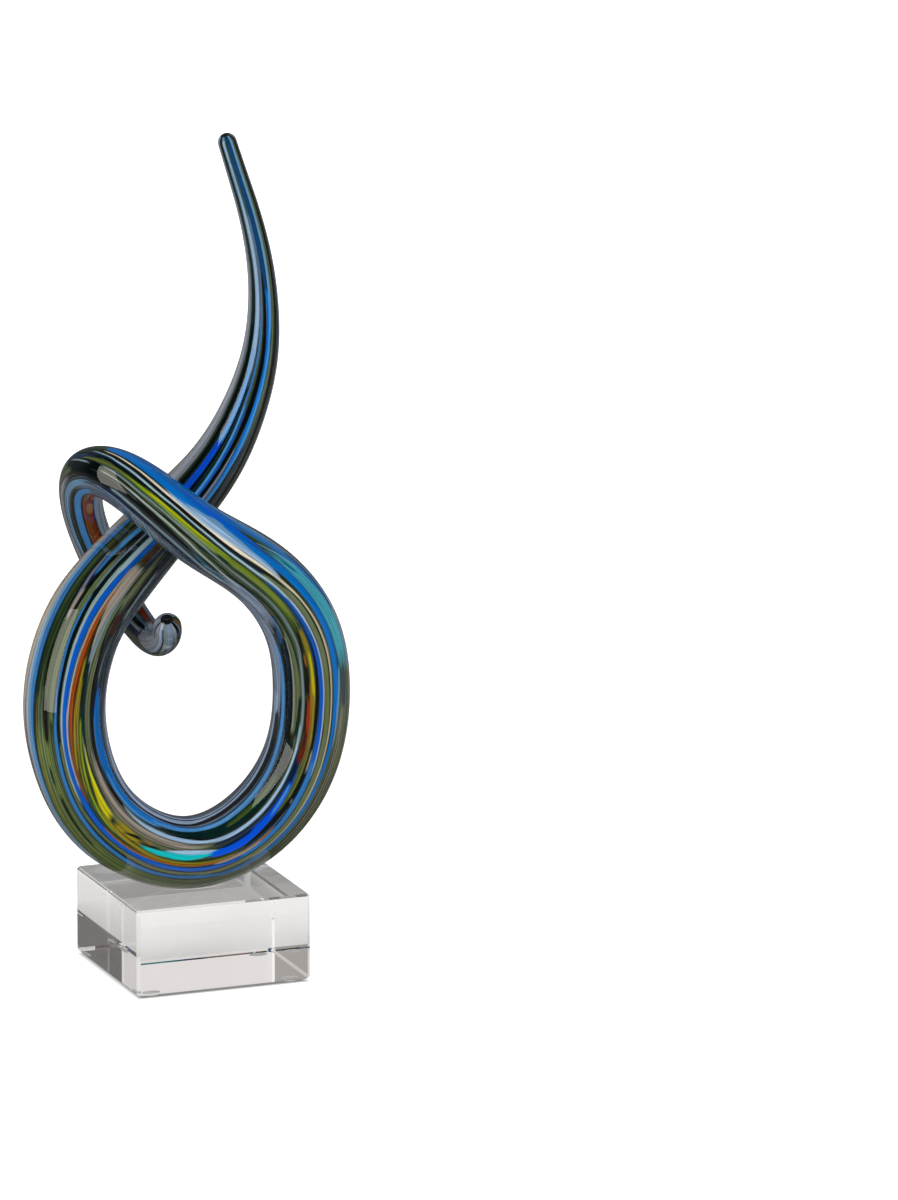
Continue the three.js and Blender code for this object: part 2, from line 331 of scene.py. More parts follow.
lit_share = LIT_SHARE - seen * SEEN_LESS - mirrored * MIRRORED_LESS - through * THROUGH_LESS
weighed = tree.node("ShaderNodeMixShader", inputs={0: lit_share, 1: nothing, 2: lit})
finish_surface(tree, inlets, tree.node("ShaderNodeAddShader", inputs={0: glow, 1: weighed}))

floor_maker = bmesh.new()
bmesh.ops.create_circle(floor_maker, cap_ends=True, radius=FLOOR_RADIUS, segments=96)
floor = new_piece("floor", floor_maker, [floor_white], smooth=False)
print("floor radius", FLOOR_RADIUS)

# %% [markdown]
# ## Path of the rod
#
# A rod of hot glass has no straight stretch and no sharp bend, so its path is one smooth curve through
# a few control points. Each row says how far across, back and up the point is, how thick the rod is
# there, and how far the canes have turned. The rows follow the measured solids.

# %% Write down the path
KNOT_WIDTH = 0.128
KNOT_HEIGHT = 0.286
ROD_DIAMETER = 0.031
GROUND_DEPTH = 0.0012
SEAT_LEFT = 0.0023
SEAT_FORWARD = 0.006
BORE_SHARE = 0.84
CORE_SHARE = 0.42
STEPS_PER_SPAN = 16

path_rows = [
    # tail
    (0.161, 0.45, 0.989, 0.235, 0.05),
    (0.192, 0.45, 0.945, 0.25, 0.05),
    (0.224, 0.45, 0.901, 0.27, 0.05),
    (0.249, 0.45, 0.857, 0.3, 0.05),
    (0.266, 0.45, 0.814, 0.33, 0.05),
    (0.273, 0.45, 0.77, 0.37, 0.05),
    (0.271, 0.45, 0.727, 0.42, 0.05),
    (0.253, 0.45, 0.676, 0.49, 0.05),
    (0.198, 0.46, 0.609, 0.58, 0.045),
    # down behind the crossing
    (0.109, 0.47, 0.542, 0.69, 0.03),
    (-0.058, 0.42, 0.478, 0.84, 0),
    (-0.244, 0.27, 0.406, 0.97, -0.02),
    # round the ring
    (-0.342, 0.13, 0.359, 0.99, -0.011),
    (-0.409, 0, 0.277, 1.02, -0.003),
    (-0.394, -0.03, 0.188, 0.99, 0.011),
    (-0.296, -0.03, 0.086, 0.96, 0.008),
    (-0.025, -0.03, 0.022, 0.87, -0.006),
    (0.222, -0.03, 0.066, 0.96, -0.033),
    (0.36, -0.06, 0.155, 0.94, -0.054),
    (0.377, -0.12, 0.259, 0.96, -0.056),
    (0.336, -0.26, 0.349, 0.93, -0.047),
    # up in front of the crossing
    (0.188, -0.41, 0.432, 0.83, -0.038),
    (-0.013, -0.45, 0.481, 0.79, -0.009),
    (-0.163, -0.39, 0.543, 0.73, 0.023),
    # the loop that turns to the back
    (-0.263, -0.16, 0.576, 0.66, 0.086),
    (-0.322, 0.27, 0.568, 0.57, 0.05),
    (-0.276, 0.81, 0.504, 0.51, 0.02),
    (-0.218, 1.1, 0.451, 0.5, 0),
    # forward under the crossing and up in the curl
    (-0.164, 1, 0.386, 0.47, -0.03),
    (-0.108, 0.75, 0.34, 0.41, -0.06),
    (-0.089, 0.45, 0.323, 0.39, -0.08),
    (-0.081, 0.15, 0.325, 0.36, -0.08),
    (-0.082, -0.11, 0.344, 0.35, -0.08),
    (-0.09, -0.18, 0.356, 0.35, -0.08),
]
LAST_ROW = len(path_rows) - 1


def beyond(end, inner):
    return tuple(2 * a - b for a, b in zip(end, inner))


def blend(rows, t):
    """The smooth curve between the middle two of four rows."""
    s = 1 - t
    weights = (
        s ** 3 / 6,
        (3 * t ** 3 - 6 * t ** 2 + 4) / 6,
        (3 * s ** 3 - 6 * s ** 2 + 4) / 6,
        t ** 3 / 6,
    )
    return [sum(w * row[column] for w, row in zip(weights, rows)) for column in range(len(rows[0]))]


def sample_path():
    """Rings along the rod: number, place, radius, turn of the canes, direction and two side vectors."""
    rows = [beyond(path_rows[0], path_rows[1]), *path_rows, beyond(path_rows[-1], path_rows[-2])]
    rings = []
    for step in range(LAST_ROW * STEPS_PER_SPAN + 1):
        number = step / STEPS_PER_SPAN
        span = min(int(number), LAST_ROW - 1)
        across, back, up, thickness, turn = blend(rows[span:span + 4], number - span)
        place = Vector((across * KNOT_WIDTH, back * ROD_DIAMETER, up * KNOT_HEIGHT))
        rings.append({"number": number, "place": place, "radius": thickness * ROD_DIAMETER / 2,
                      "turn": turn * math.tau})
    side = None
    for i, ring in enumerate(rings):
        before, after = rings[max(i - 1, 0)]["place"], rings[min(i + 1, len(rings) - 1)]["place"]
        ring["along"] = (after - before).normalized()
        side = side or Vector((0, 1, 0)).cross(ring["along"])
        side = (side - ring["along"] * side.dot(ring["along"])).normalized()
        ring["side"], ring["other"] = side, ring["along"].cross(side)
    return rings


rings = sample_path()
seat_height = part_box("clear_casing")[0].z
lowest = min(ring["place"].z - ring["radius"] for ring in rings)
shift = Vector((block_foot.x - SEAT_LEFT, block_foot.y - SEAT_FORWARD, seat_height - GROUND_DEPTH - lowest))
for ring in rings:
    ring["place"] = ring["place"] + shift
run = sum((b["place"] - a["place"]).length for a, b in zip(rings, rings[1:]))
print("rings:", len(rings), "length of the rod:", round(run, 3), "m")

# %% [markdown]
# ## Wrapping a grid round the path
#
# Blender can bend a mesh along a curve, but a cane has to keep its own angle round the rod. So a flat
# grid gets one row for each place along the path and one column for each point round it. Its points are
# moved to their places, its first and last columns are merged, and its two open ends are filled.


# %% Wrap a grid round the path
def point_beside(ring, angle, distance, lift=0.0):
    """A point near a ring: angle round the rod, distance from its middle, and shift along it."""
    return (
        ring["place"]
        + ring["side"] * (distance * math.cos(angle))
        + ring["other"] * (distance * math.sin(angle))
        + ring["along"] * lift
    )


def sweep(outlines, places=None):
    """A closed tube through the outlines. Places hold the map position of each point."""
    columns, rows = len(outlines[0]), len(outlines)
    maker = bmesh.new()
    bmesh.ops.create_grid(maker, x_segments=columns, y_segments=rows - 1, size=1)
    spots = {
        vert: (round((vert.co.x + 1) / 2 * columns) % columns, round((vert.co.y + 1) / 2 * (rows - 1)))
        for vert in maker.verts
    }
    for vert, (column, row) in spots.items():
        vert.co = outlines[row][column]
    if places:
        layer = maker.loops.layers.uv.new("map")
        for face in maker.faces:
            for loop in face.loops:
                column, row = spots[loop.vert]
                loop[layer].uv = places[row][column]
    bmesh.ops.remove_doubles(maker, verts=maker.verts, dist=1e-7)
    bmesh.ops.holes_fill(maker, edges=[edge for edge in maker.edges if edge.is_boundary])
    bmesh.ops.recalc_face_normals(maker, faces=maker.faces)
    return maker


DOME_LEANS = [math.radians(lean) for lean in (10, 20, 30, 40, 50, 60, 68, 75, 81, 86)]
stations = (
    [(rings[0], lean, -1) for lean in reversed(DOME_LEANS)]
    + [(ring, 0.0, 1) for ring in rings]
    + [(rings[-1], lean, 1) for lean in DOME_LEANS]
)
print("outlines on the whole rod:", len(stations))

# %% [markdown]
# ## Clear glass
#
# Clear glass bends light, so it gets full transmission and the refraction of soda glass. Light that
# only casts a shadow passes straight through instead, which saves the lamps from being lost inside it.
# Faint ripples, left by the flame, keep the reflections from looking like a computer's. The casing is
# fire-polished and mirrors more than plain glass, so it has a coat, which fades out near the foot, where
# the block would mirror it as haze. In the crystal a ray can be mirrored between faces many times, and
# the renderer then stops it and leaves black. After a few bounces such a ray meets a pale glow instead.


# %% Mix the clear glasses
RIPPLE_STRENGTH = 0.3
COAT_REFRACTION = 1.7
POLISH_STARTS = 0.042
POLISH_FULL = 0.062
TRAPPED_BOUNCES = 5


def clear_glass(name, tint, refraction, shadow_tint, ripple_scale, ripple_depth, haze=0.0,
                polished=False, afterglow=0.0):
    material = bpy.data.materials.new(name)
    tree, inlets = new_tree(material)
    place = tree.node("ShaderNodeTexCoord", outlet="Object")
    fine = {"Vector": place, "Scale": ripple_scale * 4, "Detail": 3.0}
    ripple = tree.node("ShaderNodeTexNoise", inputs={"Vector": place, "Scale": ripple_scale, "Detail": 2.0})
    cloud = tree.node("ShaderNodeTexNoise", inputs=fine)
    bump = {"Strength": RIPPLE_STRENGTH, "Distance": ripple_depth, "Height": ripple}
    polish = 0.0
    if polished:
        height = tree.node("ShaderNodeSeparateXYZ", inputs={0: place}, outlet=2)
        polish = tree.node("ShaderNodeMapRange", {"interpolation_type": "SMOOTHSTEP"}, {
            "Value": height, "From Min": POLISH_STARTS, "From Max": POLISH_FULL})
    body = tree.node("ShaderNodeBsdfPrincipled", inputs={
        "Base Color": tree.mix(cloud, WHITE, colour(tint)),
        "Roughness": cloud * haze + haze,
        "IOR": refraction,
        "Transmission Weight": 1.0,
        "Coat Weight": polish,
        "Coat Roughness": 0.0,
        "Coat IOR": COAT_REFRACTION,
        "Normal": tree.node("ShaderNodeBump", inputs=bump),
    })
    if afterglow:
        bounces = light_path(tree, "Ray Depth")
        trapped = bounces.maths("GREATER_THAN", bounces, TRAPPED_BOUNCES)
        glow = tree.node("ShaderNodeEmission", inputs={"Color": WHITE, "Strength": afterglow})
        body = tree.node("ShaderNodeMixShader", inputs={0: trapped, 1: body, 2: glow})
    straight = tree.node("ShaderNodeBsdfTransparent", inputs={"Color": colour(shadow_tint)})
    shadow = light_path(tree, "Is Shadow Ray")
    glass = tree.node("ShaderNodeMixShader", inputs={0: shadow, 1: body, 2: straight})
    finish_surface(tree, inlets, glass)
    return material


casing_glass = clear_glass("casing_glass", 0xF4FAF8, 1.5, 0xFFFFFF, 60.0, 0.00003, polished=True)
crystal = clear_glass("crystal", 0xFBF8F4, 1.52, 0xD8D8D8, 18.0, 0.000004, afterglow=0.6)
glue = clear_glass("glue", 0xF2F5EC, 1.48, 0xE6E6E6, 300.0, 0.00002, haze=0.02)

bumper_gel = bpy.data.materials.new("bumper_gel")
tree, inlets = new_tree(bumper_gel)
place = tree.node("ShaderNodeTexCoord", outlet="Object")
cloud = tree.node("ShaderNodeTexNoise", inputs={"Vector": place, "Scale": 400.0, "Detail": 2.0})
milky = tree.node("ShaderNodeBsdfPrincipled", inputs={
    "Base Color": tree.mix(cloud, colour(0xA8A8A6), colour(0xC0C0BE)),
    "Roughness": cloud * 0.2 + 0.3,
    "IOR": 1.45,
})
# painted light: a faint glow that brightens the milky bumpers, though no lamp is there
bumper_painted_glow = tree.node("ShaderNodeEmission", inputs={"Color": WHITE, "Strength": 0.15})
finish_surface(tree, inlets, tree.node("ShaderNodeAddShader", inputs={0: milky, 1: bumper_painted_glow}))
print("glasses:", casing_glass.name, crystal.name, glue.name, bumper_gel.name)

# %% [markdown]
# ## Casing
#
# The casing is the clear outside of the rod: round at both ends and ground flat where it stands. On the
# real piece it is fused to the canes, so it's drawn as solid glass around them, without a bore.


# %% Sweep the casing and grind its foot
CASING_SIDES = 72

outlines = [
    [
        point_beside(ring, math.tau * k / CASING_SIDES, ring["radius"] * math.cos(lean),
                     end * ring["radius"] * math.sin(lean))
        for k in range(CASING_SIDES)
    ]
    for ring, lean, end in stations
]
maker = sweep(outlines)
bmesh.ops.bisect_plane(
    maker, geom=maker.verts[:] + maker.edges[:] + maker.faces[:], dist=1e-7,
    plane_co=(0, 0, seat_height), plane_no=(0, 0, -1), clear_outer=True,
)
rim = [edge for edge in maker.edges if edge.is_boundary]
bmesh.ops.holes_fill(maker, edges=rim)
bmesh.ops.recalc_face_normals(maker, faces=maker.faces)
casing = new_piece("casing_skin", maker, [casing_glass])
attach(casing, "root")
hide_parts("clear_casing")
print("casing:", len(casing.data.polygons), "faces, ground edge of", len(rim), "edges")

# %% [markdown]
# ## Coloured canes
#
# Each cane is a long wedge of coloured glass between the core and the casing. Its colour isn't even: threads
# of other glass were laid on it before the rod was drawn out, and they run along it as lines and long
# leaves. So every cane has one base glass, and stripes of the other glasses are laid over it. A few pale
# stripes on the ring and the bar are painted reflections of a lamp on the right, marked where they stand.

# %% Choose the glasses
glasses = {
    "ink": 0x060D0E, "soot": 0x171510, "bark": 0x4A2A24, "tar": 0x0A2826, "bottle": 0x1C3826,
    "moss": 0x4A6028, "olive": 0x6C7430, "khaki": 0x717A54, "sage": 0x6F7F55, "lime": 0x8EA41C,
    "lemon": 0xDCD006, "mustard": 0x9C8A22, "ochre": 0xA0681A, "rust": 0x6A2206, "ember": 0xB03A14,
    "peach": 0xD4C4A6, "sand": 0xA89C90, "fog": 0x849AA0, "pearl": 0xB2C2BA, "lilac": 0x8288A2,
    "smoke": 0x46505C, "slate": 0x7C90AC, "denim": 0x347EC4, "steel": 0x78A6CC, "ice": 0xAABEDE,
    "sky": 0x4C9AE0, "azure": 0x0C78D2, "royal": 0x0A5ECC, "cobalt": 0x0A58E6, "marine": 0x06487A,
    "navy": 0x12264A, "teal": 0x246A88, "lagoon": 0x50C4D8, "turquoise": 0x14C8CC, "mint": 0xAAC4C4,
    "loam": 0x3E4030, "fern": 0x7A8A48, "copper": 0xA85A18, "mist": 0xA8AEBC, "frost": 0xACCCEC,
    "cream": 0xF0E4CC,
}

# name of the cane, where it starts round the rod in degrees, and its base glass
canes = [
    ("peach", 0, "sand"), ("pale_blue", 23.4, "steel"), ("amber", 45, "ochre"),
    ("moss_green", 64.8, "moss"), ("smoke_grey", 90, "smoke"), ("lilac_grey", 118.8, "slate"),
    ("rust_red", 147.6, "rust"), ("sky_blue", 181.1, "slate"), ("slate", 204.1, "slate"),
    ("cobalt", 221, "smoke"), ("ink", 239, "soot"), ("ash_grey", 254.5, "khaki"), ("yellow", 270, "moss"),
    ("royal_blue", 288, "marine"), ("bottle_green", 303.1, "bottle"), ("olive", 318.6, "moss"),
    ("turquoise", 334.8, "moss"),
]
print(len(glasses), "glasses,", len(canes), "canes")

# %% [markdown]
# ## Stripes
#
# The stripes were read off the photograph, one after another, along the rod. They are kept as text, because
# a line of words and numbers is easier to read and to change than rows of brackets: the glass, then for each
# point its place along the path, its angle round the rod and its width there in degrees. A line that ends in
# a comma goes on in the next one. Washes are broad with soft borders and lie below, threads are sharp and
# lie above them.


# %% Write down the washes
def stripes(lines):
    """The rows of a list of stripes: a glass, then place, angle and width at each point."""
    rows = []
    for line in lines.replace(",\n", ", ").strip().splitlines():
        if not line.startswith("#"):
            glass, points = line.split(": ")
            rows.append((glass, *(tuple(map(float, point.split())) for point in points.split(", "))))
    return rows


washes = stripes("""
# tail
loam: -1 212 24, 10 214 24
sage: -1 226 7, 6 231 8, 8.5 238 3
slate: 2 280 14, 5 281 12, 8 282 5
steel: -1 295 20, 5 297 20, 7 298 8
tar: -1 322 25, 5 320 25, 7 319 13, 10.4 323 16
mist: -1 345 26, 7 343 26, 10.3 346 26
peach: 7 366 16, 10.5 366 16
# left side of the ring
smoke: 10 236 8, 11.5 232 12, 13.4 214 16
smoke: 11.8 246 8, 12.4 244 10, 13.2 239 6
bark: 11.3 253 10, 12 251 12
khaki: 10.5 256 10, 11.4 258 10
sage: 13.2 319 8, 14.5 319 9, 15.6 325 10
fern: 13.3 334 22, 14.6 336 30, 16.4 340 34, 17 344 30
sand: 13.8 254 10, 15 253 14, 16.2 261 8
khaki: 16.4 338 28, 18.5 340 26, 19.3 345 14
sand: 16.8 334 6, 18 336 8, 19 340 4
# right side of the ring and bar
ice: 18.5 206 20, 20.4 218 26, 21.6 222 16
ice: 20.3 244 12, 21 243 18, 21.7 247 9
lilac: 20.9 224 14, 22 222 14
smoke: 21.8 248 7, 22.4 252 12, 22.9 252 9
lagoon: 19.2 344 10, 19.6 350 28, 20.4 350 26, 20.9 345 18, 21.3 343 5
azure: 18.3 323 6, 19.3 327 10, 20.4 330 12, 21.3 332 14, 22 345 28, 23.2 345 44, 24.1 338 36
azure: 20.2 370 8, 21 362 14, 22 366 22, 24.2 376 30
steel: 21 374 14, 22.6 378 12
lime: 20.2 284 11, 21 282 10, 22 285 10, 23.3 279 11
# loop and curl
copper: 24.2 176 8, 24.8 165 26, 27.2 167 30
bottle: 24.5 207 6, 25.6 211 14, 27.4 216 13
steel: 24.2 220 8, 25 227 13, 27.2 233 12
mist: 24.8 246 14, 28 250 18
bark: 28.2 158 36, 29.8 162 34
mist: 29.7 160 60, 31 230 150, 34 240 330
# far side
khaki: -1 168 20, 12 164 22, 24 170 10
denim: 3 186 12, 11 184 10
olive: -1 104 20, 16 104 24, 33 100 16
azure: 8 128 10, 16 132 14, 23 128 10
bottle: 9 30 12, 18 36 14, 26 34 12
""")
print(len(washes), "washes")
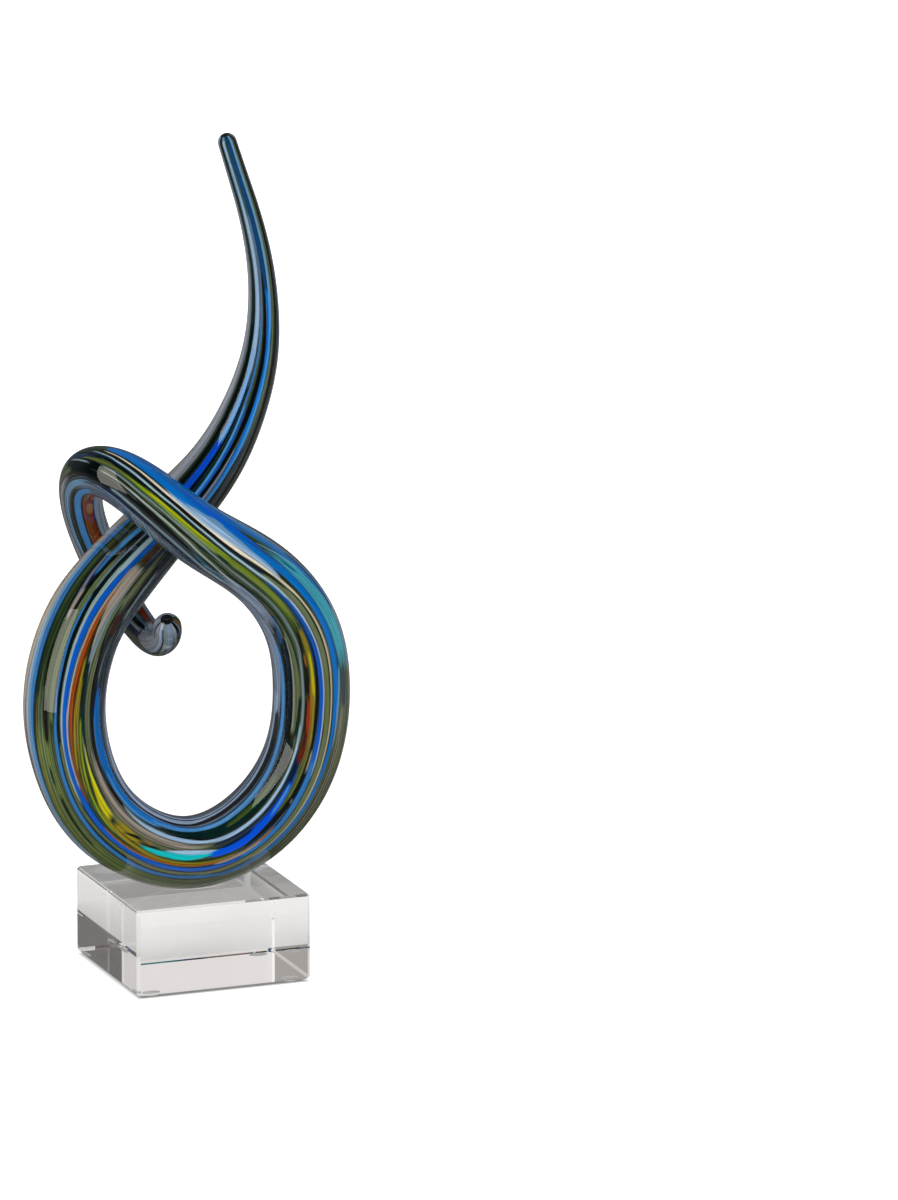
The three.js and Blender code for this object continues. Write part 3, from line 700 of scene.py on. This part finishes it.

# %% Write down the threads
# painted reflection: on the bar, from about 21 to 23 along the path, the widening peach row and the cream,
# steel and frost rows below it paint the pale patch where a lamp on the right is mirrored; before 21 the
# thin peach line is glass
# painted reflection: this fog row and the sand row two lines below paint the pale patch where a lamp on the
# right is mirrored
threads = stripes("""
# tail
soot: -1 214 10, 5 216 8, 10.4 218 12
marine: -1 262 24, 3 262 24, 5 257 12
steel: -1 240 15, 4 242 12, 6 243 6
sky: 4.6 247 5, 6 244 8, 8 243 8, 8.8 247 6, 10 252 6
azure: 4.5 256 9, 6 252 9, 8 250 8, 9.4 256 2
ink: 4 269 3, 5.5 265 11, 7.5 261 14, 8.6 265 9, 10 269 8
lilac: 8.4 257 2, 9 259 4, 10 264 4
royal: 7.6 271 0, 8.5 272 4, 10 276 4
denim: 5 279 3, 6.6 279 5, 8.4 278 5
sky: 7.6 278 3, 8.4 278 5, 10 282 5
tar: 6 285 2, 7.6 284 4, 10 288 5
ink: 7.2 287 2, 8.5 290 5, 10 295 6
steel: -1 295 16, 3 295 17, 5 297 18, 7 298 15
sky: 6.3 298 5, 7.4 298 14, 8.5 301 13
cobalt: 8.4 301 13, 10 306 12
ink: -1 318 8, 5 317 9, 10.4 320 4
loam: 7 325 2, 10.4 329 3
mist: -1 352 20, 7 352 22, 10.3 355 22
# left side of the ring, from its inner edge to its outer edge
ice: 10.8 200 22, 13 200 24, 15 202 22, 17 202 16, 19 204 24
peach: 10.1 384 18, 12 385 20, 13.8 390 16
ice: 10.2 370 7, 11 372 8, 12 370 8, 13 368 10, 14 363 12, 15.2 361 12
soot: 10.1 240 20, 10.35 240 7, 10.7 246 6, 11.1 247 6, 11.6 240 6, 12.3 232 6, 13 226 5
fog: 10.5 241 3, 11 241 5, 11.5 234 3
bark: 11.4 252 3, 11.7 250 12, 11.95 247 9
soot: 10.2 256 3, 10.5 263 3, 11.2 265 2
navy: 10.1 257 6, 10.5 266 5, 10.7 270 3
soot: 11.2 262 2, 11.7 259 4, 12.1 256 4, 12.6 252 5, 13.2 250 6, 13.8 250 5, 14.3 246 3, 14.9 242 1
navy: 12.6 246 2, 13 245 5, 13.4 247 3
khaki: 11 263 2, 12 262 3, 12.6 259 5, 13.3 257 5, 13.9 259 2
fog: 10.6 272 5, 11.4 270 5, 12 269 8, 12.5 269 7, 12.9 267 2
bark: 10.1 268 8, 10.4 274 9, 10.66 278 9
sand: 10.62 278 17, 11.1 278 14, 11.8 275 6, 12.3 273 2
tar: 12.4 271 2, 12.8 268 6, 13.3 267 7, 13.7 265 4, 14.3 262 3, 14.8 261 2
soot: 11.7 280 1, 12.2 276 3, 12.7 272 3, 13.2 271 2
copper: 11.1 286 1, 11.6 285 4, 12.2 284 5, 13 286 5, 13.6 287 4, 14.5 289 2
rust: 11.9 280 1, 12.6 280 3, 13.2 282 3, 13.8 285 2, 14.2 287 1
ember: 11.5 285 1, 12.2 284 2, 13 286 2, 13.5 288 1
mustard: 12.4 278 1, 12.8 277 4, 13.3 279 4, 13.8 283 3, 14.1 286 1
mustard: 12.7 273 1, 13.4 275 2, 13.9 279 2, 14.4 284 1
lime: 13.3 270 2, 13.9 274 3, 14.4 279 3, 15 284 2
lemon: 13.7 267 1, 14.1 267 3, 14.35 268 7, 14.6 270 10, 14.82 272 12
mustard: 14.5 275 1, 14.8 278 4, 15.2 282 5, 15.6 286 5, 16.2 288 3, 16.6 290 1
mustard: 14.85 270 12, 15.05 270 14, 15.25 272 12, 15.35 274 6
olive: 14.84 267 5, 15 266 4
ink: 15.02 277 3, 15.1 272 4, 15.2 268 5, 15.34 267 4
ink: 15.28 274 2, 15.4 271 3, 15.55 268 2
ochre: 15.32 267 3, 15.38 267 6, 15.46 267 2
soot: 15.15 278 2, 15.26 276 2, 15.3 272 2
turquoise: 15.28 277 2, 15.45 277 6, 15.65 275 11, 15.9 273 15, 16.15 272 10, 16.36 274 2
frost: 15.6 271 1, 15.75 268 5, 15.95 267 7, 16.15 269 6, 16.32 273 3
royal: 10.1 281 10, 10.5 288 9, 10.75 291 9, 11 294 8, 11.5 295 9, 13 296 8, 13.6 296 7, 14 296 7,
14.5 294 7, 15 294 7, 15.5 296 7, 16.2 300 6, 16.6 301 5
peach: 10.7 287 1, 11 288 2, 12 288 2.4, 12.5 289 2, 13 290 2.4, 13.6 292 2.4, 14.3 291 1
mint: 10.1 288 8, 10.5 296 8, 10.75 299 8, 11 302 7, 11.4 303 5, 12 302 4, 13 301 3, 14 301 2.4, 14.5 299 1
ink: 10.1 296 3, 10.5 304 4, 10.85 309 4, 11.2 310 5, 12 308 5, 13 307 4, 13.6 306 2, 14 305 2, 14.5 303 1
slate: 10.1 302 3, 10.5 309 3, 11 314 3, 11.4 314 2
sage: 10.6 315 2, 11 318 6, 11.5 318 7, 13 318 6, 13.4 316 3
ink: 10.1 308 5, 10.5 317 6, 11 324 6, 11.5 326 6, 12 324 3
denim: 11.4 313 1, 12.2 312 3, 13 310 3, 13.6 311 5, 14.5 311 6, 15 311 6, 15.5 315 7, 16 315 7, 16.5 320 7,
17 319 8, 17.6 319 8, 18.2 321 6, 18.6 322 3
sky: 10.1 315 8, 10.4 323 8, 10.7 328 6
navy: 10.65 328 3, 10.9 330 6, 11.4 331 3
denim: 10.55 327 3, 10.8 329 5, 11.2 330 2
lilac: 10.7 335 2, 11.1 335 4, 11.6 331 5, 12 329 2
sand: 11.4 329 2, 11.65 330 5, 12 328 2
soot: 10.1 330 4, 10.6 336 4, 11 340 4, 11.6 337 4, 12.5 335 3, 13 333 3
soot: 13 331 3, 13.2 328 7, 13.5 326 6, 13.68 326 1
tar: 13.9 330 1, 14.05 330 4, 14.22 330 1
soot: 14.25 326 1, 14.5 328 6, 14.75 328 5, 15 327 1
tar: 10.1 343 5, 10.7 352 6, 11 354 6, 12 351 6, 13 349 6, 13.5 350 4, 14.2 350 1
bottle: 10.3 339 3, 11 343 2, 12 340 2, 13 338 2
mustard: 13 343 1, 13.6 344 2, 14.4 343 3, 15 341 1
denim: 10.1 350 8, 10.6 357 9, 11 360 9, 12 357 9, 13 356 9, 13.6 356 8, 14.4 353 3
steel: 10.4 364 6, 11 368 7, 12 365 8, 13 363 8, 14 359 8, 15 357 3
bottle: 13.2 336 1, 14.5 338 2, 16 343 2.4, 17.5 347 1
soot: 13.8 345 1, 15 346 1.6, 16.5 350 2, 18 352 1
bottle: 14 328 1, 15.5 331 2, 17 336 2.4, 18.5 338 1
olive: 13.5 340 1, 15 342 2, 17 347 3, 18.6 350 1
soot: 15 324 1, 16 328 1.6, 17.4 330 1.6, 18.4 333 1
bottle: 15.4 352 1, 16.4 355 2, 18 358 2, 19 358 1
# inside of the ring
soot: 14.2 222 2, 14.8 216 4, 15.4 213 4, 15.9 213 5, 16.5 210 10, 17.5 213 12, 18.3 213 14, 18.7 212 4
azure: 12.8 239 2, 13.1 238 10, 13.6 237 16, 14.2 233 17, 14.7 229 14, 15.1 226 11, 15.6 222 8, 16 222 5
sky: 14.2 237 2, 14.6 234 6, 15 233 6, 15.5 231 3
sky: 15.3 227 5, 16 225 8, 16.5 227 9, 17.2 228 9, 18.2 228 8, 19 228 7, 20 229 3
steel: 16.2 226 1, 16.8 227 2.4, 17.6 228 2, 18.4 226 1
tar: 15.4 234 2, 15.65 233 6, 16 235 12, 16.4 240 18, 17 243 18, 17.6 247 16, 18.3 250 14
moss: 16.5 240 1, 16.85 240 7, 17.2 243 7, 17.7 246 1
fog: 14.8 240 3, 15.2 242 7, 15.6 243 9
frost: 14.9 241 1, 15.2 243 4, 15.6 244 7, 15.9 247 7, 16.2 252 5, 16.5 256 6, 17 259 5, 17.5 261 4,
18 263 3.5, 18.6 265 3
navy: 16.2 260 3, 16.5 262 4, 17 265 3, 17.6 267 3, 18.2 268 1
cobalt: 16.15 276 4, 16.35 276 12, 16.6 276 15, 17 275 12, 17.5 274 8, 17.95 273 4
navy: 16.3 268 3, 16.6 270 5, 16.9 270 2
sky: 17.1 276 1, 17.45 274 4, 17.7 274 1
navy: 17.6 271 4, 17.9 272 7, 18.1 272 3
ochre: 14.8 290 1, 15.3 290 4, 15.9 290 5, 16.2 291 4, 16.6 294 4, 17.1 293 2
sand: 16.2 294 1, 16.5 295 4, 16.9 296 1
ink: 16.6 286 3, 17 285 6, 17.5 288 9, 17.9 288 9, 18.3 288 5, 19 290 6, 19.4 291 4, 20 293 2
sand: 17.4 290 3, 17.46 290 4, 17.5 290 3
sand: 17.85 290 2, 18 290 3, 18.25 290 1
moss: 17.2 281 1, 17.6 281 4, 18 280 2
olive: 17.4 283 1, 18 284 3, 18.5 285 2
rust: 17.95 273 8, 18.1 274 9, 18.4 275 7, 18.8 276 7, 19.1 276 3
ember: 18.4 277 1, 18.6 276 4, 18.8 275 5, 19 276 3
soot: 18.15 271 3, 18.3 274 2, 18.6 272 3, 19 272 4
soot: 19 273 7, 19.3 274 7, 19.7 274 5, 20.1 278 5, 20.2 279 2
ochre: 19.5 277 1, 19.65 276 3, 19.8 278 1
ochre: 17.9 281 1, 18.5 281 3, 19 280 4, 19.3 280 1
mustard: 18.2 284 2, 18.7 284 4, 19.2 284 7, 20.2 285 7
lemon: 19 285 1, 19.2 284 4, 19.5 284 4, 19.8 285 1
denim: 16.5 301 4, 17 299 7, 18 297 8, 18.6 297 5, 19 298 3
royal: 18 296 4, 18.6 297 6, 19.4 297 6, 20 296 4, 20.6 295 3, 20.9 292 2, 21.1 289 1
ice: 17.8 302 1, 18.5 301 2.4, 19.2 302 2.6, 20 301 3, 20.4 300 3.4, 20.7 299 3
khaki: 13.6 304 2, 14.5 303 5, 15 302 5, 15.5 305 6, 16 307 6, 16.5 309 7, 17 308 8, 19 308 8, 20.2 307 9,
20.8 304 8, 21.2 300 4
olive: 18.3 305 1, 18.9 306 4, 19.5 305 1
soot: 15.3 308 1, 15.6 310 2, 16.1 308 1
peach: 16.6 313 1, 17.2 313 2, 18 314 2.4, 18.6 315 2.4, 19.2 316 3, 20 317 4, 20.4 316 4, 20.8 313 5,
21.3 310 5, 21.6 309 6, 22 312 7, 22.3 313 6, 22.7 311 5, 23 308 5, 23.4 307 5, 23.8 309 4, 24.2 316 3
cream: 21 311 2, 21.4 309 5, 21.8 310 7, 22.3 313 8, 22.8 310 6, 23.3 307 4, 23.9 309 2
steel: 20.9 315 3, 21.3 320 9, 21.7 325 17, 22.1 327 24, 22.4 323 19, 22.7 318 11, 23 316 4
frost: 20.9 313 3, 21.3 316 6, 21.6 317 8, 22.1 319 13, 22.4 317 10, 22.7 314 5, 22.9 313 2
sky: 22.5 322 2, 22.9 319 6, 23.4 318 6, 24 326 5
azure: 22.1 338 4, 22.4 333 8, 22.8 328 18, 23.4 325 22, 24.2 332 20
denim: 20 371 6, 20.6 369 14, 21.2 364 14, 21.8 368 12
steel: 19.2 366 12, 19.8 372 12, 20.4 382 10
azure: 17.8 320 1, 18.4 321 6, 19 324 9, 19.6 327 10, 20.2 329 11, 20.8 328 12, 21.2 327 10, 21.6 332 7,
22 340 5
steel: 18.2 327 1, 18.7 329 4, 19.1 332 5, 19.4 335 2
smoke: 18.75 342 4, 18.9 344 12, 19.2 344 11, 19.4 345 4
royal: 21.3 337 2, 21.6 341 10, 22 346 14, 22.5 345 8, 22.9 345 1
teal: 20.7 348 1, 20.9 346 6, 21.05 345 1
steel: 20.5 362 1, 20.9 356 2, 21.2 349 2, 21.4 344 3
marine: 20 367 6, 20.6 369 6, 21 364 2
# bar across the front
ink: 18.2 246 4, 18.5 241 11, 19 241 13, 19.6 241 13, 20.05 243 10, 20.2 244 2
marine: 19.95 240 3, 20.2 246 8, 20.4 251 8, 20.6 255 2
khaki: 18.35 251 4, 19 255 9, 19.7 257 8, 20.3 259 3
pearl: 18.4 250 1, 19 250 2, 19.6 251 2, 20.2 256 1
tar: 18.3 257 5, 18.7 260 6, 19.05 262 2
bottle: 19.3 262 1, 20 262 4, 20.6 262 5, 21 259 5, 21.3 257 5, 21.6 261 5, 21.9 266 4, 22.2 270 3
fog: 18.2 264 2, 18.8 267 4, 19.4 267 4, 20 270 4, 20.6 270 5, 21 268 4, 21.3 267 4, 21.6 270 3, 21.9 274 4,
22.3 277 4, 22.7 275 4, 23.1 271 4, 23.5 268 4, 24 270 4, 24.4 276 2
ink: 21.7 264 1, 22.1 271 3, 22.5 270 4, 23 265 4, 23.4 262 4, 23.8 264 4, 24.2 274 4
olive: 23.5 277 2, 24 280 5, 24.5 288 3
pearl: 21.2 246 1, 21.5 250 4, 21.8 256 4, 22.1 261 4, 22.4 264 4, 22.8 262 4, 23.2 258 4, 23.6 256 3,
24.2 266 2
teal: 21.35 234 2, 21.5 237 6, 21.8 244 6, 22.1 250 3
ink: 22.1 249 2, 22.5 253 8, 22.9 252 10, 23.2 247 9, 23.5 243 8, 24 244 14, 24.6 252 12
fog: 21.4 231 3, 21.9 236 6, 22.3 240 6, 22.7 238 6, 23.1 234 6, 23.5 231 6, 23.9 231 2
navy: 21.7 225 3, 22.1 230 7, 22.5 231 6, 22.9 227 6, 23.4 221 6, 24 222 8
bottle: 21.3 275 1, 21.4 275 3, 21.5 275 1
tar: 21.55 277 1, 21.7 278 4, 21.9 281 1
lime: 21.6 286 2, 22 289 5, 22.4 289 6, 22.8 286 6, 23.1 281 6, 23.4 278 4, 23.7 277 1
lemon: 22 290 1, 22.4 289 2, 22.9 285 2, 23.2 281 1
ink: 21 289 1, 21.6 291 2, 22 294 3, 22.4 294 4, 22.8 292 4, 23.2 288 5, 23.6 285 5, 24 290 6, 24.5 300 4
mint: 20.6 299 2, 21 296 4, 21.3 294 4, 21.6 295 4, 21.9 298 3, 22.2 300 3, 22.6 299 3, 23 295 4,
23.4 293 4, 23.7 294 4, 24 299 3, 24.4 308 2
soot: 20.7 308 1, 21 305 4, 21.4 302 6, 21.8 304 6, 22.2 306 6, 22.6 305 6, 23 302 6, 23.5 300 6, 24 306 6,
24.4 314 4
# loop
ink: 23.7 230 8, 24 238 20, 24.4 249 24, 24.8 264 20
ink: 24 262 14, 24.3 268 22, 24.7 280 24, 24.9 290 16
ink: 24.1 288 4, 24.5 300 6, 24.9 312 8
fog: 24.3 270 3, 24.6 282 5, 24.8 290 3
ember: 24.5 160 2, 25.4 156 5, 27 160 3
bark: 25.2 150 3, 26.8 151 6
ice: 24 124 48, 28 120 44
soot: 24.6 180 1, 25.5 182 3, 27.2 185 3
sky: 24.3 192 10, 25.5 194 17, 27.2 199 16
sky: 24.4 188 3, 25.4 187 4, 26.8 191 4
ink: 25 208 2, 26 209 4, 27.3 212 3
ink: 25.6 217 1, 26.4 220 4, 27.3 222 3
steel: 24.4 221 3, 25.4 224 4, 27.2 229 4
fog: 24.6 112 6, 25.6 126 8, 27 130 6
smoke: 25.8 106 6, 26.8 110 12
# curl
rust: 28.4 150 6, 29.2 158 24, 29.6 160 8
teal: 28.6 186 8, 29.4 186 9, 30.2 188 5
ink: 28.6 200 16, 29.6 202 20, 30.2 202 18, 30.4 204 6
pearl: 28.9 221 6, 29.4 221 9, 29.95 222 8
ink: 29.9 221 22, 30.05 226 20, 30.15 228 6
navy: 28.9 236 10, 29.5 236 12, 30.05 238 10
soot: 29.7 126 8, 30.4 154 13, 31 182 12, 31.6 206 10
fog: 30 196 6, 30.8 216 14, 31.8 236 12, 33 250 6
ice: 30.8 300 5, 31.6 299 9, 34 297 9
tar: 30.7 314 3, 31.6 313 7, 34 310 5
slate: 31.2 350 18, 34 350 22
ink: 31.3 388 12, 34 386 20
ink: 31.8 262 4, 34 268 12
fog: 31 330 6, 34 330 12
# far side, from tail to curl
lemon: 7 90 1, 12 94 4, 17 90 5, 22 88 1
cobalt: 9 112 2, 14 116 6, 20 112 6, 26 110 1
rust: 6 74 1, 12 78 5, 18 76 6, 25 72 1
ink: -1 84 4, 12 85 3, 24 82 4, 34 84 4
mint: 10 104 1, 15 102 3, 21 100 3, 27 100 1
ink: -1 124 4, 14 122 3, 24 122 3
turquoise: 14 140 1, 17 142 9, 20.5 138 10, 23 138 1
ink: 4 150 2, 13 152 4, 22 150 4
peach: 5 60 1, 13 62 2.4, 23 60 2.4, 28 58 1
ink: -1 48 5, 14 50 4, 33 48 5
royal: 4 36 1, 10 40 5, 17 38 6, 24 40 2
ink: -1 20 4, 16 22 4, 33 20 4
lime: 12 172 1, 16 170 5, 21 168 6, 24 170 1
ember: 3 180 1, 9 178 4, 13 180 1
ice: -1 188 3, 6 187 4, 12 188 2.4
ink: -1 196 4, 11 200 4, 20 192 3
""")
print(len(threads), "threads")

# %% [markdown]
# ## Cane material
#
# The map of each cane holds its place along the path and its angle round the rod. A float curve turns
# the place into the middle of a thread, another one into its width, and a group lays the thread over
# what is below it. Fine stretched noise draws the hair lines of pulled glass, most of them between the
# washes and the threads and a few above. They follow the sway of the whole bundle.

# %% Mix a material for each cane
THREAD_BORDER = 1.8
WASH_BORDER = 5.0
WASH_END = 0.4
THREAD_END = 0.1
SEAM_WIDTH = 1.6
SEAM_SHADE = 0.2
WANDER_ALONG = 0.08
WANDER_ROUND = 1.8

# hair lines: how fine along and round the rod, where the noise starts and fills a line, how strong, glass
hairs_below = [(0.2, 0.34, 0.54, 0.62, 0.35, "ink"), (0.1, 0.7, 0.5, 0.54, 0.55, "ink"),
               (0.2, 0.6, 0.6, 0.66, 0.35, "pearl")]
hairs_above = [(0.12, 0.9, 0.54, 0.62, 0.4, "ink")]

# how far the bundle sways round the rod, in degrees, at places along the path
sway = [(0, 0), (6, 0), (8, -3), (9.6, 3), (10.2, -9), (10.6, -4), (11, -1), (12, 0), (13, 1), (14, 1),
        (15, -1), (16, 4), (17, 7), (18, 7), (19, 9), (20, 9), (20.7, 7), (21.3, 3), (22.2, 8), (23.2, 2),
        (23.6, 1), (24.2, 9), (25, 16), (27, 20), (33, 20)]


def curve_through(place, points):
    """A smooth curve of place through points, or a number where they are level."""
    (start, _), (end, _) = points[0], points[-1]
    low, high = min(p[1] for p in points), max(p[1] for p in points)
    if high - low < 1e-6:
        return low
    bends = [((x - start) / (end - start), (y - low) / (high - low)) for x, y in points]
    share = (place - start) * (1 / (end - start))
    return share.node("ShaderNodeFloatCurve", {"bends": bends}, {"Value": share}) * (high - low) + low


def layer(name, row, border, end):
    """A group that lays one row of glass over the shade below it."""
    glass, points = row[0], row[1:]
    group = bpy.data.node_groups.new(name, "ShaderNodeTree")
    for socket, kind in (("Shade", "Color"), ("Along", "Float"), ("Angle", "Float")):
        group.interface.new_socket(socket, in_out="INPUT", socket_type="NodeSocket" + kind)
    group.interface.new_socket("Shade", in_out="OUTPUT", socket_type="NodeSocketColor")
    source = group.nodes.new("NodeGroupInput")
    shade, along, angle = (Wire(group, outlet) for outlet in source.outputs[:3])
    middle = curve_through(along, [(p[0], p[1]) for p in points])
    width = curve_through(along, [(p[0], p[2]) for p in points])
    inside = width * 0.5 - abs(angle - middle)
    across = (inside * (1 / border) + 0.5).held()
    thin = width * (1 / border)
    if isinstance(thin, Wire):
        across = across * thin.held()
    lengthwise = ((along - points[0][0]).least(points[-1][0] - along) * (1 / end)).held()
    laid = along.mix(across * lengthwise, shade, colour(glasses[glass]))
    sink = group.nodes.new("NodeGroupOutput")
    group.links.new(laid.socket, sink.inputs["Shade"])
    low = min(p[1] - p[2] / 2 for p in points) - border
    high = max(p[1] + p[2] / 2 for p in points) + border
    return group, low, high


wash_layers = [layer(f"wash_{i}", row, WASH_BORDER, WASH_END) for i, row in enumerate(washes)]
thread_layers = [layer(f"thread_{i}", row, THREAD_BORDER, THREAD_END) for i, row in enumerate(threads)]


def lay(layers, shade, along, angle, starts, ends):
    """Lays the rows that touch a cane. A row past a full turn comes round again."""
    for turn in (0, 360):
        turned = angle + turn if turn else angle
        for group, low, high in layers:
            if low - turn < ends and high - turn > starts:
                shade = shade.node("ShaderNodeGroup", {"node_tree": group}, {
                    "Shade": shade, "Along": along, "Angle": turned})
    return shade


def cane_glass(name, starts, ends, base):
    material = bpy.data.materials.new("cane_" + name)
    tree, inlets = new_tree(material)
    place = tree.node("ShaderNodeUVMap", {"uv_map": "map"})
    even = tree.node("ShaderNodeSeparateXYZ", inputs={0: place}, outlet=0) * LAST_ROW
    share = tree.node("ShaderNodeSeparateXYZ", inputs={0: place}, outlet=1) * 360
    settled = share - curve_through(even, sway)

    def noise(along_scale, angle_scale, detail=1.0):
        spread = tree.node("ShaderNodeCombineXYZ", inputs={0: even * along_scale, 1: settled * angle_scale})
        return tree.node("ShaderNodeTexNoise", inputs={"Vector": spread, "Scale": 1.0, "Detail": detail})

    def lines(value, low, high, most):
        return tree.node("ShaderNodeMapRange", inputs={
            "Value": value, "From Min": low, "From Max": high, "To Max": most})

    def draw_hairs(shade, rows):
        for along_scale, angle_scale, low, high, most, glass in rows:
            strength = lines(noise(along_scale, angle_scale), low, high, most)
            shade = tree.mix(strength, shade, colour(glasses[glass]))
        return shade

    wander = noise(2.4, 0.25) - 0.5
    along = even + wander * WANDER_ALONG
    angle = share + wander * WANDER_ROUND
    smear = lines(noise(0.5, 0.3), 0.35, 0.65, 0.6)
    shade = tree.mix(smear, colour(glasses[base]), colour(glasses["soot"]))
    shade = draw_hairs(lay(wash_layers, shade, along, angle, starts, ends), hairs_below)
    shade = draw_hairs(lay(thread_layers, shade, along, angle, starts, ends), hairs_above)
    near_seam = (angle - starts).least(ends - angle)
    seam = (1 - near_seam * (1 / SEAM_WIDTH)).held() * SEAM_SHADE
    shade = tree.mix(seam, shade, colour(glasses["ink"]))
    body = tree.node("ShaderNodeBsdfPrincipled", inputs={
        "Base Color": shade,
        "Roughness": noise(0.5, 0.6) * 0.2 + 0.25,
        "Specular IOR Level": 0.0,
    })
    finish_surface(tree, inlets, body)
    return material


# %% Sweep the canes
ANGLE_STEP = 3.0
CANE_GAP = 0.00004
CANE_END_LEAN = math.radians(62)
CANE_EDGE = math.radians(50)
END_RUN = 0.3

cane_stations = [(ring, lean, end) for ring, lean, end in stations if lean < CANE_END_LEAN]
for i, (name, starts, base) in enumerate(canes):
    ends = canes[i + 1][1] if i + 1 < len(canes) else 360
    count = max(3, round((ends - starts) / ANGLE_STEP))
    outer = [starts + (ends - starts) * k / count for k in range(count + 1)]
    inner = [ends, (starts + ends) / 2, starts]
    outlines, places = [], []
    for ring, lean, end in cane_stations:
        size, lift = ring["radius"] * math.cos(lean), end * ring["radius"] * math.sin(lean) * BORE_SHARE
        corners = [(d, size * BORE_SHARE) for d in outer] + [(d, size * CORE_SHARE) for d in inner]
        outline = []
        for degrees, radius in corners:
            inward = CANE_GAP / radius if degrees == starts else -CANE_GAP / radius if degrees == ends else 0
            outline.append(point_beside(ring, math.radians(degrees) + inward + ring["turn"], radius, lift))
        outlines.append(outline)
        number = (ring["number"] + end * math.sin(lean) * END_RUN) / LAST_ROW
        places.append([(number, degrees / 360) for degrees in outer + inner])
    cane = new_piece("glass_cane_" + name, sweep(outlines, places), [cane_glass(name, starts, ends, base)])
    cane.data.set_sharp_from_angle(angle=CANE_EDGE)
    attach(cane, "root")
    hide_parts("cane_" + name)
print("canes of", len(cane_stations), "outlines each")

# %% [markdown]
# ## Core
#
# The core is a thin rod of black glass. It shows only at the two ends of the rod, as a dark spot where
# it reaches the surface between the canes.

# %% Sweep the core
CORE_SIDES = 24

core_black = bpy.data.materials.new("core_black")
tree, inlets = new_tree(core_black)
place = tree.node("ShaderNodeTexCoord", outlet="Object")
smear = tree.node("ShaderNodeTexNoise", inputs={"Vector": place, "Scale": 900.0, "Detail": 2.0})
finish_surface(tree, inlets, tree.node("ShaderNodeBsdfPrincipled", inputs={
    "Base Color": tree.mix(smear, colour(0x08090C), colour(0x1A1C20)),
    "Roughness": smear * 0.2 + 0.2,
    "Specular IOR Level": 0.0,
}))

outlines = []
for ring, lean, end in stations:
    radius = ring["radius"] * min(CORE_SHARE, BORE_SHARE * math.cos(lean)) - CANE_GAP
    lift = end * ring["radius"] * math.sin(lean) * BORE_SHARE
    outlines.append([point_beside(ring, math.tau * k / CORE_SIDES, radius, lift) for k in range(CORE_SIDES)])
core = new_piece("black_core", sweep(outlines), [core_black])
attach(core, "root")
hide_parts("core_rod")
print("core:", len(core.data.polygons), "faces")

# %% [markdown]
# ## Crystal block
#
# The block's measured solid already has the right shape, flat faces with narrow polished chamfers, so
# it stays and only gets the crystal.

# %% Give the block its crystal
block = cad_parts["crystal_base"]
block.data.materials.clear()
block.data.materials.append(crystal)
print("block:", len(block.data.polygons), "faces")

# %% [markdown]
# ## Glue film and bumpers
#
# The film of clear glue is a thin oval with a soft edge. The bumpers are small milky discs that keep the
# block off the table, and their material adds a faint painted glow that brightens them. Both start as a
# circle that is extruded, shaped and bevelled.

# %% Make the glue film and the bumpers
ROUND_SEGMENTS = 48
GLUE_EDGE = 0.0001
BUMPER_EDGE = 0.0003
ROUND_EDGE = math.radians(35)


def disc(low, high, edge):
    """A flat round or oval disc that fills a box, with a softened upper and lower edge."""
    maker = bmesh.new()
    made = bmesh.ops.create_circle(maker, cap_ends=True, radius=1.0, segments=ROUND_SEGMENTS)
    raised = bmesh.ops.extrude_face_region(maker, geom=maker.faces[:])["geom"]
    bmesh.ops.translate(maker, verts=[v for v in raised if isinstance(v, bmesh.types.BMVert)], vec=(0, 0, 1))
    size, middle = (high - low) / 2, (high + low) / 2
    bmesh.ops.scale(maker, verts=maker.verts, vec=(size.x, size.y, high.z - low.z))
    bmesh.ops.translate(maker, verts=maker.verts, vec=(middle.x, middle.y, low.z))
    bmesh.ops.recalc_face_normals(maker, faces=maker.faces)
    rims = [e for e in maker.edges if abs(e.verts[0].co.z - e.verts[1].co.z) < 1e-7]
    bmesh.ops.bevel(maker, geom=rims, offset=edge, affect="EDGES", segments=3, profile=0.5, material=-1)
    return maker


for name, node, slot, material, edge in [
    ("glue_oval", "bond_film", "glue", glue, GLUE_EDGE),
    *(("bumper_" + corner, "foot_" + corner, "bumper", bumper_gel, BUMPER_EDGE)
      for corner in ("front_left", "front_right", "back_left", "back_right")),
]:
    piece = new_piece(name, disc(*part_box(node), edge), [material])
    piece.data.set_sharp_from_angle(angle=ROUND_EDGE)
    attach(piece, "root")
    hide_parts(node)
    print(name, [round(v, 4) for v in piece.dimensions])
